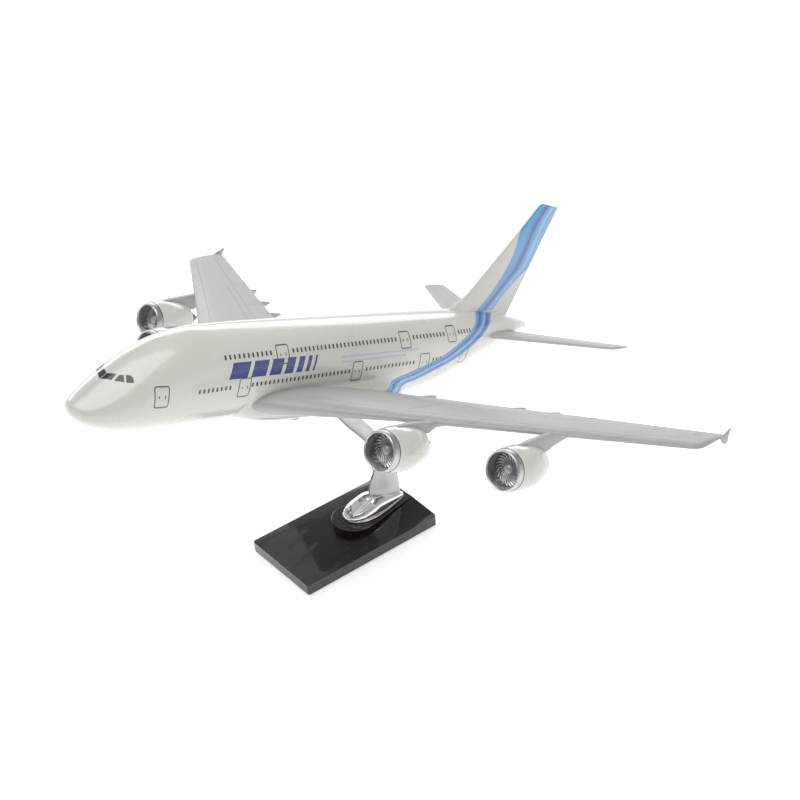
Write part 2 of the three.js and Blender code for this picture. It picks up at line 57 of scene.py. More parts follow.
AIRCRAFT = (
    Matrix.Translation((0, PIN_Y, 0))
    @ Matrix.Rotation(TURNED, 4, "Z")
    @ Matrix.Translation((0, REFERENCE[0] - PIN_Y, REFERENCE[1]))
    @ Matrix.Rotation(-NOSE_UP, 4, "X")
    @ Matrix.Scale(SCALE, 4)
    @ Matrix.Translation((0, -STATION_ZERO, 0))
)
STAND = Matrix.Scale(0.001, 4)

FUSELAGE = np.array([
    # station, half width, top, bottom
    [0.4, 0.06, -1.8, -1.94],
    [0.5, 0.75, -1.55, -2.36],
    [0.8, 1.38, -1.3, -2.82],
    [1.3, 1.95, -0.95, -3.27],
    [2.1, 2.5, -0.3, -3.72],
    [3.4, 3.07, 0.66, -4.14],
    [5.2, 3.58, 1.88, -4.48],
    [7.6, 3.97, 3.25, -4.64],
    [10.6, 4.15, 4.4, -4.65],
    [14.5, 4.16, 5.05, -4.65],
    [20.0, 4.16, 5.16, -4.65],
    [44.0, 4.16, 5.02, -4.65],
    [49.0, 4.05, 4.98, -3.95],
    [54.0, 3.65, 4.9, -2.65],
    [59.0, 2.9, 4.65, -1.1],
    [64.0, 1.95, 4.1, 0.35],
    [68.0, 1.1, 3.3, 1.35],
    [70.3, 0.5, 2.7, 1.8],
])
FAIRING = {"start": 17.5, "end": 46.5, "half": 4.6, "depth": 2.4, "centre": -2.85}
SKIN = 0.32
SEAM = 0.012
LIFT = 0.012
RIBBON_LIFT = 0.04


# ---------------------------------------------------------------- mathematics
def smooth_rows(x, y, at):
    """Monotone cubic interpolation of the points (x, y)."""
    step = np.diff(x)
    slope = np.diff(y) / step
    tangent = np.concatenate([[slope[0]], np.zeros(len(x) - 2), [slope[-1]]])
    for i in range(1, len(x) - 1):
        if slope[i - 1] * slope[i] > 0:
            a = 2 * step[i] + step[i - 1]
            b = step[i] + 2 * step[i - 1]
            tangent[i] = (a + b) / (a / slope[i - 1] + b / slope[i])
    i = np.clip(np.searchsorted(x, at) - 1, 0, len(x) - 2)
    t = (at - x[i]) / step[i]
    return (
        (2 * t**3 - 3 * t**2 + 1) * y[i]
        + (t**3 - 2 * t**2 + t) * step[i] * tangent[i]
        + (3 * t**2 - 2 * t**3) * y[i + 1]
        + (t**3 - t**2) * step[i] * tangent[i + 1]
    )


def spline(points, count):
    """A Catmull-Rom curve through the points, count samples."""
    p = np.array(points, float)
    p = np.vstack([2 * p[0] - p[1], p, 2 * p[-1] - p[-2]])
    u = np.linspace(0, len(points) - 1, count)
    i = np.clip(u.astype(int), 0, len(points) - 2)
    t = (u - i)[:, None]
    a, b, c, d = p[i], p[i + 1], p[i + 2], p[i + 3]
    return 0.5 * (
        2 * b + (c - a) * t + (2 * a - 5 * b + 4 * c - d) * t**2 + (3 * b - a - 3 * c + d) * t**3
    )


def section(station):
    """Half width, centre and half height of the fuselage tube."""
    root = np.sqrt(FUSELAGE[:, 0] - FUSELAGE[0, 0])
    u = np.sqrt(np.maximum(np.asarray(station, float) - FUSELAGE[0, 0], 0))
    width, top, low = (smooth_rows(root, FUSELAGE[:, k], u) for k in (1, 2, 3))
    return width, (top + low) / 2, (top - low) / 2


def skin(station, angle, lift=0.0):
    """Points of the outer skin, fairing included, at angles about the tube's centre."""
    station, angle = np.broadcast_arrays(np.asarray(station, float), np.asarray(angle, float))
    width, centre, height = section(station)
    middle = (FAIRING["start"] + FAIRING["end"]) / 2
    v = np.clip((station - middle) / (FAIRING["end"] - FAIRING["start"]) * 2, -1, 1)
    full = np.sqrt(np.maximum(1 - v**4, 1e-6))
    half, depth = FAIRING["half"] * full, FAIRING["depth"] * full
    power, blend = 2.5, 0.5
    low, high = np.zeros_like(station), np.full_like(station, 9.0)
    for _ in range(40):
        r = (low + high) / 2
        x, z = r * np.cos(angle), centre + r * np.sin(angle)
        tube = (np.hypot(x / width, (z - centre) / height) - 1) * width
        reach = (np.abs(x) / half) ** power + (np.abs(z - FAIRING["centre"]) / depth) ** power
        belly = (reach ** (1 / power) - 1) * depth
        belly = np.where(full < 0.05, 9.0, belly)
        h = np.clip(0.5 + 0.5 * (belly - tube) / blend, 0, 1)
        field = belly * (1 - h) + tube * h - blend * 0.25 * h * (1 - h)
        outside = field > 0
        high = np.where(outside, r, high)
        low = np.where(outside, low, r)
    r = (low + high) / 2 + lift
    return np.stack([r * np.cos(angle), station, centre + r * np.sin(angle)], -1)


def skin_at(station, height, lift=LIFT):
    """Points of the port side of the tube at a given height."""
    station, height = np.asarray(station, float), np.asarray(height, float)
    width, centre, half = section(station)
    across = np.sqrt(np.maximum(1 - ((height - centre) / (half + lift)) ** 2, 0))
    return np.stack([(width + lift) * across, station, height], -1)


# ---------------------------------------------------------------- mesh helpers
def grid_faces(rows, columns, wrap=False):
    faces = []
    for i in range(rows - 1):
        for j in range(columns if wrap else columns - 1):
            k = (j + 1) % columns
            a, b = i * columns, (i + 1) * columns
            faces.append((a + j, a + k, b + k, b + j))
    return faces


def loft(rings):
    """A closed body through rings of equal length, with a flat cap on each end."""
    rings = np.asarray(rings, float)
    rows, columns = rings.shape[:2]
    faces = grid_faces(rows, columns, wrap=True)
    faces.append(tuple(reversed(range(columns))))
    faces.append(tuple((rows - 1) * columns + j for j in range(columns)))
    return rings.reshape(-1, 3), faces


def merged(*bodies):
    """Several (points, faces) as one."""
    points, faces, start = [], [], 0
    for p, f in bodies:
        points.append(np.asarray(p, float).reshape(-1, 3))
        faces += [tuple(start + k for k in face) for face in f]
        start += len(points[-1])
    return np.vstack(points), faces


def mirror(body):
    points, faces = body
    return np.asarray(points) * (-1, 1, 1), [tuple(reversed(f)) for f in faces]


def make(name, body, place, material, rides, replaces=(), sharp=35, attributes=None):
    """A named piece from (points, faces), placed, shaded smooth with sharp edges, and riding."""
    points, faces = body
    mesh = bpy.data.meshes.new(name)
    mesh.from_pydata([tuple(p) for p in points], [], faces)
    mesh.transform(place)
    b = bmesh.new()
    b.from_mesh(mesh)
    bmesh.ops.recalc_face_normals(b, faces=b.faces)
    b.to_mesh(mesh)
    b.free()
    mesh.polygons.foreach_set("use_smooth", [True] * len(mesh.polygons))
    mesh.set_sharp_from_angle(angle=math.radians(sharp))
    for key, values in (attributes or {}).items():
        layer = mesh.attributes.new(key, "FLOAT", "POINT")
        layer.data.foreach_set("value", np.asarray(values, np.float32).ravel())
    for m in material if isinstance(material, (list, tuple)) else [material]:
        mesh.materials.append(m)
    piece = bpy.data.objects.new(name, mesh)
    bpy.context.scene.collection.objects.link(piece)
    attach(piece, rides)
    if replaces:
        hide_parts(*replaces)
    return piece


# ---------------------------------------------------------------- materials
class Shader:
    """A small helper that builds one node material."""

    def __init__(self, name):
        self.material = bpy.data.materials.new(name)
        self.material.use_nodes = True
        self.nodes = self.material.node_tree.nodes
        self.links = self.material.node_tree.links
        self.principled = self.nodes["Principled BSDF"]

    def node(self, kind, inputs=None, **settings):
        node = self.nodes.new(kind)
        for key, value in settings.items():
            setattr(node, key, value)
        for key, value in (inputs or {}).items():
            self.put(node, key, value)
        return node

    def put(self, node, key, value):
        if isinstance(value, bpy.types.NodeSocket):
            self.links.new(value, node.inputs[key])
        else:
            node.inputs[key].default_value = value

    def set(self, **values):
        for key, value in values.items():
            self.put(self.principled, key.replace("_", " "), value)

    def noise(self, scale, detail=3.0, roughness=0.5, stretch=(1, 1, 1)):
        where = self.node("ShaderNodeTexCoord").outputs["Object"]
        mapped = self.node("ShaderNodeMapping", {"Vector": where, "Scale": stretch})
        inputs = {
            "Vector": mapped.outputs[0], "Scale": scale, "Detail": detail, "Roughness": roughness,
        }
        return self.node("ShaderNodeTexNoise", inputs).outputs["Fac"]

    def ramp(self, value, stops):
        node = self.node("ShaderNodeValToRGB", {"Fac": value})
        elements = node.color_ramp.elements
        while len(elements) < len(stops):
            elements.new(0.5)
        for element, (at, colour) in zip(elements, stops):
            element.position = at
            element.color = (*colour, 1) if len(colour) == 3 else colour
        return node.outputs["Color"]

    def span(self, value, low, high):
        inputs = {"Value": value, "To Min": low, "To Max": high}
        return self.node("ShaderNodeMapRange", inputs).outputs["Result"]

    def bump(self, value, strength, distance):
        inputs = {"Height": value, "Strength": strength, "Distance": distance}
        return self.node("ShaderNodeBump", inputs).outputs["Normal"]

    def attribute(self, name):
        return self.node("ShaderNodeAttribute", attribute_name=name).outputs["Fac"]


def tinted(shader, dark, light, scale, low=0.35, high=0.65, **kind):
    return shader.ramp(shader.noise(scale, **kind), [(low, dark), (high, light)])


def paint(name, dark, light, roughness, coat):
    s = Shader(name)
    s.set(Base_Color=tinted(s, dark, light, 12, 0.05, 0.95, detail=1))
    spread = s.noise(30, detail=1)
    s.set(Roughness=s.span(spread, roughness - 0.03, roughness + 0.03))
    s.principled.inputs["Coat Weight"].default_value = coat
    s.principled.inputs["Coat Roughness"].default_value = 0.08
    return s.material


def metal(name, dark, light, low, high, stretch=(1, 1, 1), scale=400, bump=0.05, metallic=1.0):
    s = Shader(name)
    grain = s.noise(scale, detail=3, stretch=stretch)
    s.set(Base_Color=s.ramp(grain, [(0.3, dark), (0.7, light)]))
    s.set(Roughness=s.span(grain, low, high), Metallic=metallic)
    s.set(Normal=s.bump(grain, bump, 0.0001))
    return s.material


def lacquered_wood(name, dark, light):
    s = Shader(name)
    grain = s.noise(40, detail=5, roughness=0.6, stretch=(7, 0.6, 4))
    fine = s.noise(300, detail=3, stretch=(6, 0.4, 3))
    both = s.node("ShaderNodeMath", {0: grain, 1: fine}, operation="MULTIPLY").outputs[0]
    s.set(Base_Color=s.ramp(both, [(0.14, dark), (0.42, light)]))
    s.set(Roughness=s.span(fine, 0.3, 0.4))
    s.principled.inputs["Coat Weight"].default_value = 1.0
    s.principled.inputs["Specular IOR Level"].default_value = 0.1
    s.principled.inputs["Coat IOR"].default_value = 1.65
    s.principled.inputs["Coat Roughness"].default_value = 0.06
    return s.material


def felt(name):
    s = Shader(name)
    fibre = s.noise(2600, detail=5, roughness=0.7)
    s.set(Base_Color=s.ramp(fibre, [(0.3, (0.006, 0.006, 0.007)), (0.7, (0.035, 0.035, 0.04))]))
    s.set(Roughness=0.95, Normal=s.bump(fibre, 0.6, 0.0004))
    s.principled.inputs["Sheen Weight"].default_value = 0.5
    return s.material


def decal(name, dark, light, roughness=0.25):
    s = Shader(name)
    s.set(Base_Color=tinted(s, dark, light, 500, detail=2))
    s.set(Roughness=s.span(s.noise(900), roughness - 0.05, roughness + 0.08))
    s.principled.inputs["Coat Weight"].default_value = 0.5
    s.principled.inputs["Coat Roughness"].default_value = 0.08
    return s.material


def ribbon_paint(name, stops, blur):
    """Streaked stripes across the ribbon; the attribute across runs 0 to 1 over its width."""
    s = Shader(name)
    streak = s.noise(120, detail=3, stretch=(1, 0.25, 0.25))
    shift = s.span(streak, -blur, blur)
    where = s.node("ShaderNodeMath", {0: s.attribute("across"), 1: shift}, operation="ADD")
    s.set(Base_Color=s.ramp(where.outputs[0], stops))
    s.set(Roughness=s.span(s.noise(700), 0.2, 0.3))
    s.principled.inputs["Coat Weight"].default_value = 0.9
    s.principled.inputs["Coat Roughness"].default_value = 0.08
    return s.material


NAVY = (0.035, 0.06, 0.24)
BLUE = (0.05, 0.2, 0.58)
SKY = (0.09, 0.37, 0.72)
PALE = (0.3, 0.5, 0.78)
LILAC = (0.36, 0.44, 0.66)
M = {
    "white": paint("pearl white paint", (0.67, 0.665, 0.615), (0.71, 0.705, 0.655), 0.28, 0.8),
    "grey": paint("satin grey paint", (0.43, 0.433, 0.43), (0.46, 0.465, 0.458), 0.42, 0.1),
    "line": decal("engraved panel line", (0.25, 0.25, 0.25), (0.34, 0.34, 0.34), 0.5),
    "door": decal("door outline", (0.05, 0.055, 0.05), (0.12, 0.125, 0.115), 0.4),
    "window": decal("cabin window", (0.045, 0.05, 0.065), (0.1, 0.105, 0.13)),
    "glass": decal("cockpit window", (0.02, 0.02, 0.03), (0.055, 0.055, 0.07), 0.15),
    "navy": decal("navy mark", (0.03, 0.045, 0.2), (0.045, 0.07, 0.27)),
    "pale": decal("pale blue mark", (0.42, 0.52, 0.72), (0.52, 0.6, 0.76)),
    "ribbon": ribbon_paint("blue ribbon", [
        (0.0, SKY), (0.14, SKY), (0.2, NAVY), (0.36, BLUE), (0.45, SKY), (0.55, PALE),
        (0.62, SKY), (0.72, NAVY), (0.86, BLUE), (1.0, SKY),
    ], 0.035),
    "flag": ribbon_paint("blue fin panel", [
        (0.0, SKY), (0.2, SKY), (0.34, BLUE), (0.42, NAVY), (0.5, BLUE), (0.62, SKY),
        (0.74, PALE), (0.84, SKY), (1.0, LILAC),
    ], 0.06),
    "silver": metal("satin silver", (0.5, 0.5, 0.51), (0.66, 0.66, 0.67), 0.3, 0.42, scale=260),
    "duct": metal("dull inlet duct", (0.44, 0.45, 0.45), (0.56, 0.57, 0.57), 0.3, 0.45, scale=300),
    "spinner": metal(
        "grey spinner", (0.36, 0.37, 0.37), (0.44, 0.45, 0.45), 0.3, 0.4, scale=200, metallic=0.6,
    ),
    "blade": metal("fan blade", (0.72, 0.72, 0.72), (0.88, 0.88, 0.88), 0.2, 0.32, scale=500),
    "dark": metal("exhaust metal", (0.08, 0.08, 0.085), (0.3, 0.3, 0.31), 0.12, 0.3, scale=300),
    "chrome": metal("mirror chrome", (0.8, 0.8, 0.82), (0.86, 0.86, 0.88), 0.02, 0.05, scale=60),
    "rim": metal("polished rim", (0.14, 0.14, 0.15), (0.24, 0.24, 0.25), 0.06, 0.14, scale=120),
    "satin": metal(
        "satin stand plate", (0.6, 0.6, 0.63), (0.64, 0.64, 0.67), 0.34, 0.4, (1, 1, 0.1), 500,
        0.01, 0.55,
    ),
    "steel": metal("bright steel", (0.5, 0.5, 0.52), (0.62, 0.62, 0.64), 0.15, 0.3),
    "wood": lacquered_wood("dark lacquered wood", (0.007, 0.005, 0.005), (0.022, 0.012, 0.01)),
    "edge": lacquered_wood("worn wood edge", (0.03, 0.008, 0.006), (0.08, 0.026, 0.018)),
    "felt": felt("base felt"),
}

for node, key in {
    "base_felt": "felt", "stand_pin": "steel", "pin_socket": "grey",
    "foot_screw_front": "steel", "foot_screw_rear": "steel",
    **{f"fan_shaft_{n}": "steel" for n in range(1, 5)},
}.items():
    mesh = frame["nodes"][node].data
    mesh.materials.clear()
    mesh.materials.append(M[key])


# ---------------------------------------------------------------- fuselage
def fuselage_half():
    count_along, count_round = 260, 110
    end = math.sqrt(FUSELAGE[-1, 0] - FUSELAGE[0, 0])
    stations = FUSELAGE[0, 0] + np.linspace(0.02, end, count_along) ** 2
    angles = np.radians(np.linspace(-90, 90, count_round))
    s, a = np.meshgrid(stations, angles, indexing="ij")
    outer = skin(s, a)
    _, centre, _ = section(s)
    arm = outer - np.stack([0 * s, s, centre], -1)
    radius = np.linalg.norm(arm, axis=-1)
    inner_radius = np.maximum(radius - SKIN, 0.35 * radius)
    inner = np.stack([0 * s, s, centre], -1) + arm * (inner_radius / radius)[..., None]
    rings = np.concatenate([outer, inner[:, ::-1]], 1)
    rings[..., 0] = np.maximum(rings[..., 0], SEAM)
    return loft(rings)


def build_fuselage():
    half = fuselage_half()
    for side, body in (("left", half), ("right", mirror(half))):
        make(f"fuselage_skin_{side}", body, AIRCRAFT, M["white"], "aircraft",
             (f"fuselage_{side}",), sharp=50)


def window(station, height, wide=0.26, tall=0.46, corners=3):
    """A printed window: a rounded upright oblong lying on the skin."""
    ring = []
    r = wide * 0.42
    for i, (sx, sz) in enumerate([(1, 1), (-1, 1), (-1, -1), (1, -1)]):
        for k in range(corners + 1):
            a = math.radians(90 * i + 90 * k / corners)
            x = sx * (wide / 2 - r) + r * math.cos(a)
            z = sz * (tall / 2 - r) + r * math.sin(a)
            ring.append((station + x, height + z))
    ring = np.array(ring)
    points = np.vstack([skin_at(ring[:, 0], ring[:, 1]), skin_at([station], [height])])
    n = len(ring)
    return points, [(k, (k + 1) % n, n) for k in range(n)]


def main_row(station):
    return -0.15 + 0.0165 * (station - 12)


def upper_row(station):
    return 2.82 + 0.0085 * (station - 15.3)


PITCH = 0.6
MAIN_RUNS = [(12.0, 15.9), (18.9, 33.0), (35.8, 43.8), (47.4, 51.2)]
UPPER_RUNS = [(15.3, 21.4), (24.6, 40.8), (44.0, 49.5), (52.5, 54.9)]


def build_windows():
    bodies = []
    for runs, row in ((MAIN_RUNS, main_row), (UPPER_RUNS, upper_row)):
        for first, last in runs:
            count = round((last - first) / PITCH)
            for s in np.linspace(first, last, count + 1):
                bodies.append(window(s, row(s)))
    port = merged(*bodies)
    for side, body in (("left", port), ("right", mirror(port))):
        make(f"cabin_windows_{side}", body, AIRCRAFT, M["window"], "aircraft")


def strip(outline, width, closed=True):
    """A band of constant width along an outline in (station, height), lying on the skin."""
    p = np.array(outline, float)
    ahead = np.roll(p, -1, 0) - p
    behind = p - np.roll(p, 1, 0)
    if not closed:
        ahead[-1], behind[0] = behind[-1], ahead[0]
    along = ahead / np.linalg.norm(ahead, axis=1)[:, None]
    along = along + behind / np.linalg.norm(behind, axis=1)[:, None]
    along /= np.linalg.norm(along, axis=1)[:, None]
    out = np.stack([-along[:, 1], along[:, 0]], 1) * width / 2
    pair = np.stack([p - out, p + out], 1)
    points = skin_at(pair[..., 0], pair[..., 1]).reshape(-1, 3)
    n = len(p)
    last = n if closed else n - 1
    return points, [
        (2 * k, 2 * ((k + 1) % n), 2 * ((k + 1) % n) + 1, 2 * k + 1) for k in range(last)
    ]


def rounded(s0, s1, z0, z1, radius, steps=4):
    corners = [(s1 - radius, z1 - radius), (s0 + radius, z1 - radius),
               (s0 + radius, z0 + radius), (s1 - radius, z0 + radius)]
    outline = []
    for i, (s, z) in enumerate(corners):
        for k in range(steps + 1):
            a = math.radians(90 * i + 90 * k / steps)
            outline.append((s + radius * math.cos(a), z + radius * math.sin(a)))
        nxt = corners[(i + 1) % 4]
        a = math.radians(90 * (i + 1))
        end = np.array([nxt[0] + radius * math.cos(a), nxt[1] + radius * math.sin(a)])
        start = np.array(outline[-1])
        outline += [tuple(start + (end - start) * t) for t in (0.25, 0.5, 0.75)]
    return outline


DOORS = [
    (6.85, 8.35, -1.32, 0.65), (17.1, 18.6, -1.2, 0.72), (33.55, 35.1, -0.94, 1.15),
    (44.9, 46.6, -0.76, 1.24), (53.0, 54.5, -0.6, 1.4),
    (22.2, 23.9, 1.77, 3.5), (41.6, 43.3, 2.05, 3.7), (50.2, 51.8, 2.2, 3.85),
]


def build_doors():
    bodies = []
    for s0, s1, z0, z1 in DOORS:
        bodies.append(strip(rounded(s0, s1, z0, z1, 0.22), 0.11))
        middle = (z0 + z1) / 2
        bodies.append(window(s0 + 0.3 * (s1 - s0), middle, 0.16, 0.2))
        bodies.append(window(s0 + 0.74 * (s1 - s0), middle + 0.09, 0.13, 0.17))
        bodies.append(window(s0 + 0.74 * (s1 - s0), middle - 0.09, 0.13, 0.17))
    port = merged(*bodies)
    for side, body in (("left", port), ("right", mirror(port))):
        make(f"door_outlines_{side}", body, AIRCRAFT, M["door"], "aircraft")


COCKPIT = [
    [(3.37, 88.6), (4.06, 88.9), (4.43, 72.0), (3.82, 66.4)],
    [(3.91, 61.0), (4.52, 66.4), (4.81, 61.3), (4.49, 48.1)],
    [(4.63, 45.7), (4.93, 59.1), (5.25, 54.2), (5.33, 47.7), (5.16, 39.9)],
]


def pane(corners, steps=6):
    """A cockpit pane on the skin, its corners given as (station, angle in degrees)."""
    p = np.array(corners)
    edges = np.array([
        p[k] + (p[(k + 1) % len(p)] - p[k]) * t for k in range(len(p)) for t in np.arange(steps) / steps
    ])
    centre = p.mean(0)
    rings = [centre + (edges - centre) * share for share in np.linspace(0.02, 1, steps)]
    points = np.array([skin(r[:, 0], np.radians(r[:, 1]), LIFT) for r in rings])
    rows, columns = points.shape[:2]
    faces = grid_faces(rows, columns, wrap=True) + [tuple(range(columns))]
    return points.reshape(-1, 3), faces


def build_cockpit():
    port = merged(*[pane(corners) for corners in COCKPIT])
    make("cockpit_windows", merged(port, mirror(port)), AIRCRAFT, M["glass"], "aircraft")


# Upper and lower edges of the ribbon on the fuselage side, as (station, angle in degrees).
RIBBON_UP = [(58.9, 84), (57.3, 55), (56.1, 38), (54.2, 24), (51.5, 11), (48.7, 0), (45.3, -8.5),
             (42.2, -20), (39.5, -32), (37.5, -45)]
RIBBON_LOW = [(62.6, 84), (60.3, 46), (58.9, 25), (57.1, 11.5), (54.9, 0), (52.4, -10), (49.3, -17.5),
              (46.2, -27), (43, -38), (40.5, -50)]


def build_ribbon():
    along, across = 180, 21
    up, low = spline(RIBBON_UP, along), spline(RIBBON_LOW, along)
    share = np.linspace(0, 1, across)
    flat = up[:, None] + (low - up)[:, None] * share[None, :, None]
    points = skin(flat[..., 0], np.radians(flat[..., 1]), RIBBON_LIFT).reshape(-1, 3)
    body = (points, grid_faces(along, across))
    values = np.tile(share, along)
    for side, b in (("left", body), ("right", mirror(body))):
        make(f"ribbon_{side}", b, AIRCRAFT, M["ribbon"], "aircraft",
             attributes={"across": values})


def slanted(s0, s1, z0, z1, lean, steps=10):
    """A slanted solid mark on the skin."""
    z = np.linspace(z0, z1, steps)
    share = np.linspace(0, 1, steps)
    s = s0 + (s1 - s0) * share[None, :] + lean * (z[:, None] - z0)
    points = skin_at(s, np.broadcast_to(z[:, None], s.shape)).reshape(-1, 3)
    return points, grid_faces(steps, steps)


def build_marks():
    """Plain slanted bars where the original carries lettering."""
    bars, start = [], 15.6
    for width in (2.4, 2.0, 1.6, 1.2, 0.85, 0.55, 0.3):
        bars.append(slanted(start, start + width, 0.75, 2.3, 0.4))
        start += width + 0.5
    port = merged(*bars)
    lines = merged(*[
        slanted(31.6, 44.5 - 2.2 * k, 1.75 - 0.5 * k, 1.9 - 0.5 * k, 0.45) for k in range(2)
    ])
    for side, hand in (("left", lambda b: b), ("right", mirror)):
        make(f"slanted_bars_{side}", hand(port), AIRCRAFT, M["navy"], "aircraft")
        make(f"pale_lines_{side}", hand(lines), AIRCRAFT, M["pale"], "aircraft")


# ---------------------------------------------------------------- wings and tail
def airfoil(share):
    """Half thickness over chord, for a thickness ratio of 1."""
    t = np.asarray(share, float)
    return 5 * (0.2969 * np.sqrt(t) - 0.126 * t - 0.3516 * t**2 + 0.2843 * t**3 - 0.1015 * t**4)


class Surface:
    """A tapered wing-like surface between two edges, with a rounded tip."""

    def __init__(self, edge, trail, z0, z1, ratio, root, tip, round_off, place):
        self.edge, self.trail, self.z0, self.z1 = edge, trail, z0, z1
        self.ratio, self.root, self.tip = ratio, root, tip
        self.round_off, self.place = round_off, place

    def at(self, y, t, upper, lift=0.0):
        """Points on the upper (+1) or lower (-1) side at span y and chord share t."""
        y, t, upper = np.broadcast_arrays(np.asarray(y, float), np.asarray(t, float), upper)
        over = np.clip((y - (self.tip - self.round_off)) / self.round_off, 0, 1)
        lead = self.edge(y) + 0.9 * self.round_off * (1 - np.sqrt(1 - 0.98 * over**2))
        rear = self.trail(y) - 0.12 * self.round_off * over**3
        chord = rear - lead
        half = self.ratio(y) * chord * airfoil(t)
        half = np.maximum(half, 0.045 * np.minimum(1, 12 * t)) * np.sqrt(1 - 0.9 * over**4)
        z = self.z0(y) + (self.z1(y) - self.z0(y)) * t
        return self.place(y, lead + chord * t, z + upper * (half + lift))

    def body(self, rows, columns):
        spread = np.linspace(0, 1, rows)
        y = self.root + (self.tip - self.root) * (1 - (1 - spread) ** 1.35)
        t = (1 - np.cos(np.linspace(0, math.pi, columns))) / 2
        around = np.concatenate([t[::-1], t[1:]])
        side = np.concatenate([np.ones(columns), -np.ones(columns - 1)])
        rings = self.at(y[:, None], around[None, :], side[None, :])
        return loft(rings)

    def line(self, points, width, upper=1, steps=24):
        """A thin mark along straight (span, chord share) stretches of the surface."""
        p = np.array(points, float)
        u = np.linspace(0, len(p) - 1, steps * (len(p) - 1) + 1)
        y = np.interp(u, range(len(p)), p[:, 0])
        t = np.interp(u, range(len(p)), p[:, 1])
        centre = self.at(y, t, upper, 0.012)
        along = np.gradient(centre, axis=0)
        along /= np.linalg.norm(along, axis=1)[:, None]
        ahead = self.at(y, np.minimum(t + 0.01, 1), upper, 0.012)
        flat = np.cross(along, np.cross(ahead - centre, self.at(y + 0.05, t, upper, 0.012) - centre))
        flat /= np.linalg.norm(flat, axis=1)[:, None]
        pair = np.stack([centre - flat * width / 2, centre + flat * width / 2], 1)
        return pair.reshape(-1, 3), grid_faces(len(u), 2)


def level(y, s, z):
    return np.stack(np.broadcast_arrays(y, s, z), -1)


FIN_TOP = 17.8
FIN_TIP = {"start": 14.0, "slope": 0.115}


def fin_edge(z):
    return 54.5 + 1.051 * (z - 4.2)


def fin_trail(z):
    return 66.3 + 0.48 * (z - 4.2)


def upright(y, s, z):
    """The fin's placing: its tip slopes down towards the rear."""
    middle = (fin_edge(y) + fin_trail(y)) / 2
    rise = (y - FIN_TIP["start"]) / (FIN_TOP - FIN_TIP["start"])
    slope = FIN_TIP["slope"] * np.clip(rise, 0, 1) ** 2
    return np.stack(np.broadcast_arrays(z, s, y - slope * (s - middle)), -1)


KINK = 14.5


def wing_edge(y):
    return 20 + 0.775 * (y - 3.5)


def wing_trail(y):
    return np.where(y < KINK, 39.9 + 0.15 * (y - 3.5), 41.55 + 0.462 * (y - KINK))


def wing_edge_z(y):
    return -2.4 + 0.1114 * (y - 3.5)


def wing_trail_z(y):
    return np.where(y < KINK, -2.9 + 0.182 * (y - 3.5), -0.9 + 0.133 * (y - KINK))


WING = Surface(
    wing_edge, wing_trail, wing_edge_z, wing_trail_z,
    lambda y: np.where(y < KINK, 0.15 - 0.0041 * (y - 3.5), 0.105), 2.2, 38.6, 0.9, level,
)
TAIL = Surface(
    lambda y: 58.4 + 0.67 * (y - 1), lambda y: 66.6 + 0.38 * (y - 1),
    lambda y: 1.8 + 0.12 * (y - 1), lambda y: 1.8 + 0.12 * (y - 1),
    lambda y: 0.1 + 0 * y, 0.4, 15.1, 0.7, level,
)
FIN = Surface(
    lambda z: fin_edge(z) - 3.2 * np.maximum(0, (7.6 - z) / 4.2) ** 2.2, fin_trail,
    lambda z: 0 * z, lambda z: 0 * z, lambda z: 0.085 + 0 * z, 3.4, FIN_TOP, 0.5, upright,
)

SLAT_TICKS = [9.8, 13.2, 16.8, 20.6, 24.4, 28.2, 32.0, 35.4]
FLAP_TICKS = [8.6, KINK, 21.5, 27.8, 33.0, 36.4]
SPOILER_TICKS = [10.5, 14.0, 16.4, 18.8, 21.2, 23.6, 26.0]


def wing_lines():
    w = 0.055
    lines = [WING.line([(6.5, 0.13), (37.4, 0.17)], w), WING.line([(5.6, 0.74), (37.2, 0.7)], w)]
    lines += [WING.line([(y, 0.015), (y + 0.35, 0.145)], w, steps=10) for y in SLAT_TICKS]
    lines += [WING.line([(y, 0.735), (y, 0.985)], w, steps=10) for y in FLAP_TICKS]
    lines.append(WING.line([(8.6, 0.62), (27.4, 0.6)], w))
    lines += [WING.line([(y, 0.61), (y, 0.72)], w, steps=8) for y in SPOILER_TICKS]
    lines.append(WING.line([(KINK, 0.18), (KINK, 0.6)], w * 0.8))
    lines += [WING.line([(y, 0.03), (y + 0.3, 0.14)], w, -1, 8) for y in SLAT_TICKS]
    lines.append(WING.line([(6.5, 0.14), (37.4, 0.17)], w, -1))
    lines.append(WING.line([(6.5, 0.72), (37.4, 0.7)], w, -1))
    return lines


def rivets():
    """Rows of pin-point rivets on the upper side of the wing."""
    dots = []
    for t in (0.3, 0.46):
        for y in np.arange(7, 36.5, 0.62):
            dots.append(WING.line([(y, t), (y + 0.14, t)], 0.05, steps=1))
    return dots


def flap_fairings():
    pods = []
    for y, length in ((9.0, 3.0), (18.9, 2.9), (22.4, 2.65), (26.2, 2.1)):
        s = float(wing_trail(np.array(y))) - 0.9
        z = 0.15 * float(wing_edge_z(y)) + 0.85 * float(wing_trail_z(np.array(y))) - 0.28
        v = -np.cos(np.linspace(0.02, math.pi - 0.02, 33))
        size = np.sqrt(1 - v**2) ** np.where(v > 0, 1.35, 0.9)
        a = np.linspace(0, 2 * math.pi, 24, endpoint=False)
        rings = np.stack(np.broadcast_arrays(
            y + 0.3 * size[:, None] * np.cos(a),
            s + length * v[:, None],
            z + 0.35 * (1 - size[:, None]) * np.where(v > 0, 0.5, 0.9)[:, None]
            + 0.46 * size[:, None] * np.sin(a),
        ), -1)
        pods.append(loft(rings))
    return merged(*pods)


FENCE = [(51.35, 2.12), (52.3, 2.62), (53.1, 3.02), (53.2, 2.85), (53.02, 2.2), (53.12, 1.62),
         (52.95, 1.36), (52.7, 1.34), (51.9, 1.62)]


